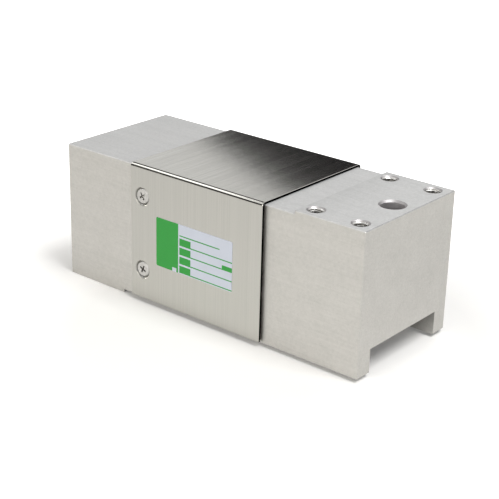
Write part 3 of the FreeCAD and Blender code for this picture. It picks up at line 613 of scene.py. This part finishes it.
def brushed_sheet(name, finish):
    """Brushed stainless sheet: marks that run round the cover from flange to flange."""
    material, tree, paint = new_material(name)
    point = tree.coordinates()
    mark = (finish.mark_width, finish.mark_length, finish.mark_length)
    marks = tree.place(long_marks(), vector=point, mark=mark)
    rim = sheet_rim(tree, point, finish.edge)
    streaks = tree.total(tree.product(marks["Fine marks"], 0.4), tree.product(marks["Broad marks"], 0.6))
    true_x, _, true_z = tree.parts(tree.add("NewGeometry").outputs["True Normal"])
    # The brush marks are real; their stronger contrast on the top is painted reflection.
    side_contrast, top_contrast = 0.11, 0.34
    on_top = tree.over(true_z, 0.9)
    contrast = tree.pick(on_top, side_contrast, top_contrast)
    streaked = tree.product(tree.between(streaks, 0.36, 0.64, -0.5, 0.5), contrast)
    on_end = tree.over(tree.calc("ABSOLUTE", true_x), SQUARE)
    cut = tree.calc("MAXIMUM", on_end, tree.under(true_z, -SQUARE))
    pressed = dimple_zone(tree, point, DIMPLE_RADIUS)
    crevice_shade = dimple_zone(tree, point, CREVICE_SHADE_RADIUS)
    # Painted shade: the cover is darker in the dimples round the screws, and darker still in the ring between
    # each screw head and its dimple.
    shading = tree.less(tree.total(1.0, streaked), (pressed, 0.2), (crevice_shade, 0.4))
    sheet = tree.vector("MULTIPLY", tree.grey(shading), finish.tint)
    # Painted shade: the cut ends and the flanges' undersides take the near-black cut colour.
    paint("Base Color", tree.blend(cut, sheet, finish.cut))
    paint("Metallic", 1.0)
    rough = tree.between(streaks, 0.35, 0.65, finish.roughness - 0.01, finish.roughness + 0.02)
    paint("Roughness", tree.pick(pressed, rough, finish.pressed))
    paint("Anisotropic", 0.4)
    normal = tree.add("NewGeometry").outputs["Normal"]
    paint("Tangent", tree.vector("CROSS_PRODUCT", X_AXIS, normal))
    rolled = relief(tree, tree.product(rim, rim), -0.1 * MM)
    brushed = tree.total(marks["Fine marks"], tree.product(marks["Broad marks"], 0.5))
    paint("Normal", relief(tree, brushed, 0.003 * MM, rolled))
    return material


def turned_metal(name, tint, roughness, edge):
    """Bright turned or plated metal with fine grain and polished edges."""
    material, tree, paint = new_material(name)
    point = tree.coordinates()
    speck = tree.place(fine_grain(), vector=point, size=0.12 * MM)["Grain"]
    patches = tree.place(cloudy_patches(), vector=point, size=2.5 * MM)["Patches"]
    edges = tree.place(edge_wear(), vector=point, reach=edge)
    body = tree.blend(patches, tint, scaled(tint, 0.84))
    paint("Base Color", tree.blend(tree.product(edges["Wear"], 0.7), body, scaled(tint, 1.12)))
    paint("Roughness", tree.spread(speck, roughness - 0.05, roughness + 0.1))
    paint("Metallic", 1.0)
    paint("Normal", relief(tree, speck, 0.004 * MM, edges["Rounded normal"]))
    return material


def black_rubber(name, tint):
    """Moulded rubber with a dusty bloom."""
    material, tree, paint = new_material(name)
    point = tree.coordinates()
    grain = tree.place(fine_grain(), vector=point, size=0.3 * MM)["Grain"]
    patches = tree.place(cloudy_patches(), vector=point, size=4 * MM)["Patches"]
    bloom = tuple(part + 0.03 for part in tint)
    paint("Base Color", tree.blend(tree.product(patches, 0.6), tint, bloom))
    paint("Roughness", tree.spread(grain, 0.5, 0.72))
    paint("Normal", relief(tree, grain, 0.02 * MM))
    return material


def label_fields(print_of, width, height):
    """The label's printed rectangles: left, right, low and high from its lower left corner."""
    rows = 4
    first_row = 0.6 * MM
    unit_row = 2
    unit_left = 43.9 * MM
    unit_height = 2.5 * MM
    top_rule = 20.4 * MM
    top_rule_end = 42.3 * MM
    left, rule = print_of.box_left, print_of.rule
    fields = [(0, print_of.panel, 0, height)]
    for row in range(rows):
        base = first_row + row * print_of.row
        end = unit_left if row == unit_row else width
        fields.append((left, left + print_of.box_width, base, base + print_of.box_height))
        fields.append((left, end, base - rule / 3, base + rule * 2 / 3))
    unit_base = first_row + unit_row * print_of.row - rule / 3
    fields.append((unit_left, width, unit_base, unit_base + unit_height))
    fields.append((left, top_rule_end, top_rule - rule / 2, top_rule + rule / 2))
    return fields


def label_film(name, print_of):
    """Glossy film printed with a solid panel, a column of boxes and thin rules."""
    low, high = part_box("rating_label")
    material, tree, paint = new_material(name)
    point = tree.coordinates()
    across, _, up = tree.parts(tree.vector("SUBTRACT", point, low))

    def field_ink(left, right, bottom, top):
        sides = {"left": left, "right": right, "low": bottom, "high": top}
        return tree.place(printed_box(), across=across, up=up, **sides)["Ink"]

    ink = 0.0
    for field in label_fields(print_of, high.x - low.x, high.z - low.z):
        ink = tree.calc("MAXIMUM", ink, field_ink(*field))
    panel_notch = (11 * MM, 13.8 * MM, -MM, 2.1 * MM)
    ink = tree.calc("SUBTRACT", ink, field_ink(*panel_notch), clamp=True)
    grain = tree.place(fine_grain(), vector=point, size=0.12 * MM)["Grain"]
    patches = tree.place(cloudy_patches(), vector=point, size=9 * MM)["Patches"]
    film = tree.blend(patches, print_of.film, scaled(print_of.film, 0.965))
    printed = tree.blend(tree.between(grain, 0.35, 0.65), print_of.ink, scaled(print_of.ink, 0.86))
    paint("Base Color", tree.blend(ink, film, printed))
    paint("Roughness", tree.spread(grain, print_of.roughness - 0.05, print_of.roughness + 0.07))
    paint("Specular IOR Level", 0.3)
    paint("Coat Weight", 0.2)
    paint("Coat Roughness", 0.2)
    raised = tree.total(tree.product(grain, 0.25), ink)
    paint("Normal", relief(tree, raised, 0.012 * MM))
    return material


def thread_profile():
    """One pitch of the thread: how far along it each row is, and its share of the full depth."""
    return [(0, 0), (1 / 8, 0), (9 / 32, 0.5), (7 / 16, 1), (9 / 16, 1), (11 / 16, 1), (27 / 32, 0.5)]


def thread_sleeve(sizes, radius, top, bottom):
    """The turns of one bolt hole as a closed sleeve: its points and its four-sided faces.

    The rows follow the helix, so the crests are crisp. A row that climbs past the top or bottom is held
    there, and a 45 degree lead-in is cut at the top.
    """
    root = radius - sizes.root_clearance
    outer = radius + sizes.backing
    profile = thread_profile()
    turns = math.ceil((top - bottom) / sizes.pitch) + 2
    rows = [(turn + at, part) for turn in range(turns) for at, part in profile]
    points = []
    for step in range(sizes.segments + 1):
        angle = 2 * math.pi * step / sizes.segments
        column = [(outer, top)]
        for at, part in rows:
            z = top + sizes.pitch * (step / sizes.segments - at)
            if z >= top:
                column.append((radius, top))
            elif z <= bottom:
                column.append((radius, bottom))
            else:
                column.append((max(root - part * sizes.depth, radius - (top - z)), z))
        column.append((outer, bottom))
        points += [Vector((r * math.cos(angle), r * math.sin(angle), z)) for r, z in column]
    count = len(rows) + 2
    faces = []
    for step in range(sizes.segments):
        here, there = step * count, (step + 1) * count
        for row in range(count):
            following = (row + 1) % count
            faces.append((here + row, here + following, there + following, there + row))
    return points, faces


def threaded_holes(name, sizes, places, radius, top, bottom, flip):
    """One piece with the turns of four holes, set where the holes are."""
    mesh = bmesh.new()
    points, faces = thread_sleeve(sizes, radius, top, bottom)
    turned = Matrix.Rotation(math.pi, 4, "X") if flip else Matrix.Identity(4)
    turn_between_holes = 1.3
    for number, place in enumerate(places):
        start = Matrix.Rotation(turn_between_holes * number, 4, "Z")
        verts = [mesh.verts.new(Vector(place) + turned @ (start @ point)) for point in points]
        for corners in faces:
            mesh.faces.new([verts[corner] for corner in corners])
    bmesh.ops.remove_doubles(mesh, verts=mesh.verts, dist=1e-6)
    bmesh.ops.dissolve_degenerate(mesh, edges=mesh.edges, dist=1e-7)
    bmesh.ops.recalc_face_normals(mesh, faces=mesh.faces)
    for face in mesh.faces:
        face.smooth = True
    data = bpy.data.meshes.new(name)
    mesh.to_mesh(data)
    mesh.free()
    data.set_sharp_from_angle(angle=math.radians(50))
    return new_object(name, data)


class DressBlock(bpy.types.Operator):
    """Gives the block its satin finish"""

    bl_idname = "load_cell.dress_block"
    bl_label = "Finish the block"

    def execute(self, context):
        dress(["load_cell_body"], satin_aluminium("satin_aluminium", context.scene.load_cell.block))
        return {"FINISHED"}


class DressCover(bpy.types.Operator):
    """Gives the folded cover its brushed finish"""

    bl_idname = "load_cell.dress_cover"
    bl_label = "Finish the cover"

    def execute(self, context):
        dress(["folded_cover"], brushed_sheet("brushed_stainless", context.scene.load_cell.cover))
        return {"FINISHED"}


class DressScrews(bpy.types.Operator):
    """Gives the four cover screws their bright finish"""

    bl_idname = "load_cell.dress_screws"
    bl_label = "Finish the cover screws"

    def execute(self, context):
        finish = context.scene.load_cell.screws
        metal = turned_metal("bright_screws", finish.tint, finish.roughness, finish.edge)
        dress(ending("cover_screw"), metal)
        return {"FINISHED"}


class PrintLabel(bpy.types.Operator):
    """Prints the plain fields of the label"""

    bl_idname = "load_cell.print_label"
    bl_label = "Print the label"

    def execute(self, context):
        dress(["rating_label"], label_film("printed_film", context.scene.load_cell.label))
        return {"FINISHED"}


class CutThreads(bpy.types.Operator):
    """Cuts the turns of the eight bolt holes"""

    bl_idname = "load_cell.cut_threads"
    bl_label = "Cut the bolt threads"

    def execute(self, context):
        sizes = context.scene.load_cell.threads
        metal = turned_metal("cut_threads", sizes.tint, sizes.roughness, sizes.edge)
        for name, mount_name, face, flip in (
            ("loaded_end_threads", "loaded_end_bolts", "loaded_pad", False),
            ("fixed_end_threads", "fixed_end_bolts", "fixed_pad", True),
        ):
            holes = mount(mount_name)
            pad = mount(face)["pos_m"][2]
            x, y, wall = holes["pos_m"]
            dims = holes["dims"]
            half_x, half_y = dims["spacing_x_mm"] * MM / 2, dims["spacing_y_mm"] * MM / 2
            places = [(x + i * half_x, y + j * half_y, pad) for i in (-1, 1) for j in (-1, 1)]
            top = -abs(pad - wall)
            bottom = sizes.end_margin - sizes.hole_depth
            piece = threaded_holes(name, sizes, places, dims["hole_r_mm"] * MM, top, bottom, flip)
            piece.data.materials.append(metal)
            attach(piece, "root")
        return {"FINISHED"}


class DressGland(bpy.types.Operator):
    """Gives the cable gland its plate and rubber"""

    bl_idname = "load_cell.dress_gland"
    bl_label = "Finish the gland"

    def execute(self, context):
        finish = context.scene.load_cell.gland
        metal = turned_metal("nickel_plate", finish.tint, finish.roughness, finish.edge)
        dress(["gland_body", "gland_nut"], metal)
        dress(["gland_bush", "gland_gasket"], black_rubber("gland_rubber", finish.rubber))
        return {"FINISHED"}


def gauge_foil(name, colours):
    """Amber film with the fine meander of a foil grid in its middle."""
    material, tree, paint = new_material(name)
    share_x, share_y, _ = tree.parts(tree.coordinates("Generated"))
    strands, gap = 21.0, 0.45
    half_length, half_width = 0.3, 0.28
    stripes = tree.over(tree.calc("FRACT", tree.product(share_y, strands)), gap)
    inside_x = tree.under(tree.off(share_x, 0.5), half_length)
    inside_y = tree.under(tree.off(share_y, 0.5), half_width)
    foil = tree.product(stripes, tree.product(inside_x, inside_y))
    grain = tree.place(fine_grain(), vector=tree.coordinates(), size=0.1 * MM)["Grain"]
    paint("Base Color", tree.blend(foil, colours.film, colours.foil))
    paint("Metallic", foil)
    paint("Roughness", tree.spread(grain, 0.3, 0.45))
    paint("Normal", relief(tree, tree.total(foil, grain), 0.005 * MM))
    return material


def tinned_board(name, colours, pads):
    """Glass fibre board with a row of tinned pads along each end."""
    material, tree, paint = new_material(name)
    share_x, share_y, _ = tree.parts(tree.coordinates("Generated"))
    pad_start, pad_end, half_pad = 0.28, 0.44, 0.3
    outward = tree.off(share_x, 0.5)
    in_row = tree.inside(outward, pad_start, pad_end)
    cell = tree.calc("FRACT", tree.product(share_y, float(pads)))
    in_cell = tree.under(tree.off(cell, 0.5), half_pad)
    pad = tree.product(in_row, in_cell)
    strand = (0.4 * MM, 0.4 * MM, 0.4 * MM)
    weave = tree.place(long_marks(), vector=tree.coordinates(), mark=strand)["Fine marks"]
    laminate = colours.laminate
    woven = tree.blend(tree.between(weave, 0.35, 0.65), laminate, scaled(laminate, 0.7))
    paint("Base Color", tree.blend(pad, woven, colours.solder))
    paint("Metallic", pad)
    paint("Roughness", tree.spread(weave, 0.28, 0.45))
    raised = tree.total(pad, tree.product(weave, 0.3))
    paint("Normal", relief(tree, raised, 0.03 * MM))
    return material


def capped_resistor(name, colours):
    """A dark resistor body with a tinned cap at each end."""
    material, tree, paint = new_material(name)
    share_x, _, _ = tree.parts(tree.coordinates("Generated"))
    cap_start = 0.34
    cap = tree.over(tree.off(share_x, 0.5), cap_start)
    grain = tree.place(fine_grain(), vector=tree.coordinates(), size=0.1 * MM)["Grain"]
    paint("Base Color", tree.blend(cap, colours.resistor, colours.solder))
    paint("Metallic", cap)
    paint("Roughness", tree.spread(grain, 0.3, 0.5))
    paint("Normal", relief(tree, tree.total(cap, grain), 0.01 * MM))
    return material


def silicone(name, tint):
    """Whitish silicone with a soft, slightly wavy skin."""
    material, tree, paint = new_material(name)
    point = tree.coordinates()
    patches = tree.place(cloudy_patches(), vector=point, size=12 * MM)["Patches"]
    paint("Base Color", tree.blend(patches, tint, scaled(tint, 0.88)))
    paint("Roughness", tree.pick(patches, 0.3, 0.42))
    paint("Normal", relief(tree, patches, 0.12 * MM))
    return material


class DressInnerPieces(bpy.types.Operator):
    """Gives the sealed pieces under the cover their finishes"""

    bl_idname = "load_cell.dress_inner_pieces"
    bl_label = "Finish the inner pieces"

    def execute(self, context):
        colours = context.scene.load_cell.inner
        dress(ending("gauge"), gauge_foil("gauge_foil", colours))
        dress(ending("terminal"), tinned_board("tinned_terminal", colours, 2))
        dress(["bridge_board"], tinned_board("tinned_board", colours, 5))
        dress(ending("resistor"), capped_resistor("capped_resistor", colours))
        metal = turned_metal("tinned_lead", colours.lead, colours.lead_roughness, colours.lead_edge)
        dress(ending("lead"), metal)
        dress(ending("potting"), silicone("silicone", colours.silicone))
        return {"FINISHED"}


def flat_piece(name, corners):
    """A flat four-cornered piece of the studio."""
    data = bpy.data.meshes.new(name)
    data.from_pydata([tuple(corner) for corner in corners], [], [(0, 1, 2, 3)])
    piece = new_object(name, data)
    return piece


def turned_to(target, centre, along):
    """A placement at a centre that looks at a target down its own -Z, with its X along a direction."""
    back = (Vector(centre) - Vector(target)).normalized()
    right = (Vector(along) - back * back.dot(Vector(along))).normalized()
    place = Matrix((right, back.cross(right), back)).transposed().to_4x4()
    place.translation = centre
    return place


def card(name, target, centre, along, width, height):
    """A flat rectangle at a centre that turns its back to a target, its width along a direction."""
    right, up = width / 2, height / 2
    place = turned_to(target, centre, along)
    corners = [(-right, -up, 0), (right, -up, 0), (right, up, 0), (-right, up, 0)]
    return flat_piece(name, [place @ Vector(corner) for corner in corners])


def ray_kinds(tree):
    """1 for a ray from the camera, and 1 for one that is mirrored or passes through something."""
    path = tree.add("LightPath").outputs
    return path["Is Camera Ray"], tree.calc("MAXIMUM", path["Is Glossy Ray"], path["Is Transmission Ray"])


def seen(tree):
    """1 for a ray from the camera or a mirrored one, and 0 for the others."""
    return tree.calc("MAXIMUM", *ray_kinds(tree))


def lay_floor(studio):
    """A pale floor that keeps the object's shadow and is lifted to white away from it.

    What the camera sees is lifted by its distance from the shadow. What the metal mirrors is lifted evenly,
    apart from the floor under the block.
    """
    material, tree, paint = new_material("pale_floor")
    paint("Base Color", studio.floor)
    paint("Roughness", 1.0)
    paint("Specular IOR Level", 0.0)
    paint("Emission Color", WHITE)
    low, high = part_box("load_cell_body")
    x, y, _ = tree.parts(tree.coordinates())
    middle, half_length = (low.x + high.x) / 2, (high.x - low.x) / 2
    past_end = tree.calc("SUBTRACT", tree.off(x, middle), half_length)
    past_side = tree.calc("SUBTRACT", tree.calc("ABSOLUTE", y), high.y)
    outside = tree.calc("MAXIMUM", past_end, past_side)
    away = tree.vector("LENGTH", tree.vector("SUBTRACT", tree.coordinates(), SHADOW))
    shadow_edge, white_edge, contact = 0.1, 0.27, 12 * MM
    lift = tree.between(away, shadow_edge, white_edge, studio.lift, studio.far_lift)
    mirror_lift = tree.between(outside, 0, contact, studio.lift, studio.mirror_lift)
    camera, mirrored = ray_kinds(tree)
    looked_at, in_metal = tree.product(camera, lift), tree.product(mirrored, mirror_lift)
    paint("Emission Strength", tree.total(looked_at, in_metal))
    below, size = (0, 0, -1), 24
    floor = card("floor", below, (0, 0, 0), X_AXIS, size, size)
    floor.data.materials.append(material)


def light_room(studio):
    """A white room that lights evenly and shows white."""
    world = bpy.data.worlds.new("white_room")
    bpy.context.scene.world = world
    world.use_nodes = True
    tree = Tree(world.node_tree)
    background = world.node_tree.nodes["Background"]
    background.inputs["Color"].default_value = (*WHITE, 1)
    tree.feed(background.inputs["Strength"], tree.pick(seen(tree), studio.room, 1.0))


def hang_lamp(name, brightness, centre, size, tint=WHITE, target=MIDDLE, along=X_AXIS):
    """A soft box turned to a target, its width along a direction, whose surface has a given brightness."""
    width, height = size
    data = bpy.data.lights.new(name, "AREA")
    data.shape = "RECTANGLE"
    data.size = width
    data.size_y = height
    data.color = tint
    data.energy = brightness * math.pi * width * height
    new_object(name, data).matrix_world = turned_to(target, centre, along)


def mirrored_card_corners(camera, level, ends, reach, width, height):
    """The corners of a card whose edge, mirrored in a level surface, lies along a line seen from the camera.

    The line runs between two ends on the surface. The card stands square to the mirrored line of sight at a
    distance from the mirrored camera.
    """
    eye = Vector((camera[0], camera[1], 2 * level - camera[2]))
    to_first, to_second = [Vector((*end, level)) - eye for end in ends]
    sight = ((to_first + to_second) / 2).normalized()
    inward = to_first.cross(to_second).normalized()
    along = inward.cross(sight).normalized() * width / 2
    edge = eye + sight * reach
    return [edge - along, edge + along, edge + along + inward * height, edge - along + inward * height]


def hang_dark_cards(studio):
    """Cards that only the metal mirrors: a dark one for the cover's top and two grey ones for its bends."""
    cover_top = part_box("folded_cover")[1].z
    dark_edge = [(0.032, 0.015), (0.098, -0.015)]
    size = {"reach": 2.08, "width": 2.4, "height": 1.3}
    corners = mirrored_card_corners(studio.place, cover_top, dark_edge, **size)
    above, below = (-0.58, 0.38, 0.705), (-0.58, -0.75, 0.36)
    cards = [
        (flat_piece("dark_card_behind", corners), studio.card),
        (card("grey_card_above", BEND, above, X_AXIS, 0.5, 0.62), studio.flag),
        (card("grey_card_below", BEND, below, X_AXIS, 0.5, 0.76), studio.flag),
    ]
    for flag, tint in cards:
        material, _, paint = new_material(flag.name)
        paint("Base Color", tint)
        paint("Roughness", 1.0)
        flag.data.materials.append(material)
        flag.visible_camera = False
        flag.visible_diffuse = False
        flag.visible_shadow = False


def place_camera(studio):
    """The camera at the photograph's viewing angle."""
    data = bpy.data.cameras.new("camera")
    data.sensor_width = 36
    data.lens = studio.lens
    data.clip_start = 0.01
    data.clip_end = 100
    camera = new_object("camera", data)
    camera.location = studio.place
    camera.rotation_euler = Euler(studio.aim, "XYZ")
    bpy.context.scene.camera = camera


class SetStudio(bpy.types.Operator):
    """Lays the floor, hangs the lamps and the dark cards, and places the camera"""

    bl_idname = "load_cell.set_studio"
    bl_label = "Set up the studio"

    def execute(self, context):
        studio = context.scene.load_cell.studio
        context.scene.view_settings.view_transform = "Standard"
        place_camera(studio)
        lay_floor(studio)
        light_room(studio)
        hang_lamp("overhead_box", studio.overhead, (0.93, -0.06, 1.56), (0.8, 0.8))
        hang_lamp("back_box", studio.back, (0.33, 1.0, 1.76), (1.0, 1.0))
        hang_lamp("front_box", studio.front, (-0.07, -2.7, 0.74), (3.0, 1.4), studio.warm)
        hang_lamp("left_box", studio.left, (-2.17, -1.6, 0.6), (1.0, 1.0), studio.warm)
        hang_lamp("key_box", studio.key, (0.96, -1.95, 1.69), (1.1, 1.1), studio.warm)
        climb = (0, 0.97, 0.24)
        hang_lamp("left_strip", studio.strip, (-0.58, -0.22, 0.815), (1.0, 0.16), WHITE, BEND, climb)
        hang_dark_cards(studio)
        return {"FINISHED"}


STEPS = [
    ("studio", SetStudio),
    ("block", DressBlock),
    ("cover", DressCover),
    ("screws", DressScrews),
    ("label", PrintLabel),
    ("threads", CutThreads),
    ("gland", DressGland),
    ("inner", DressInnerPieces),
]


class LoadCellPanel(bpy.types.Panel):
    """Lists the steps of the load cell's looks, each with its settings"""

    bl_idname = "LOADCELL_PT_pieces"
    bl_label = "Load cell"
    bl_space_type = "VIEW_3D"
    bl_region_type = "UI"
    bl_category = "Load Cell"

    def draw(self, context):
        for group, step in STEPS:
            box = self.layout.box()
            box.operator(step.bl_idname)
            settings = getattr(context.scene.load_cell, group)
            for name in settings.__annotations__:
                box.prop(settings, name)


CLASSES = [
    BlockFinish,
    CoverFinish,
    ScrewFinish,
    LabelPrint,
    ThreadSizes,
    GlandFinish,
    InnerFinish,
    Studio,
    LoadCellSettings,
    *[step for _, step in STEPS],
    LoadCellPanel,
]


def register():
    """Adds the classes and the scene's settings."""
    for item in CLASSES:
        bpy.utils.register_class(item)
    bpy.types.Scene.load_cell = PointerProperty(type=LoadCellSettings)


def unregister():
    """Takes them away again."""
    del bpy.types.Scene.load_cell
    for item in reversed(CLASSES):
        bpy.utils.unregister_class(item)


def run(step):
    """Runs one operator and stops the script if it doesn't finish."""
    group, name = step.bl_idname.split(".")
    if getattr(getattr(bpy.ops, group), name)() != {"FINISHED"}:
        raise RuntimeError(f"{step.bl_label} did not finish")


def main():
    """Dresses the load cell and sets the studio round it."""
    register()
    for _, step in STEPS:
        run(step)


if __name__ == "__main__":
    main()
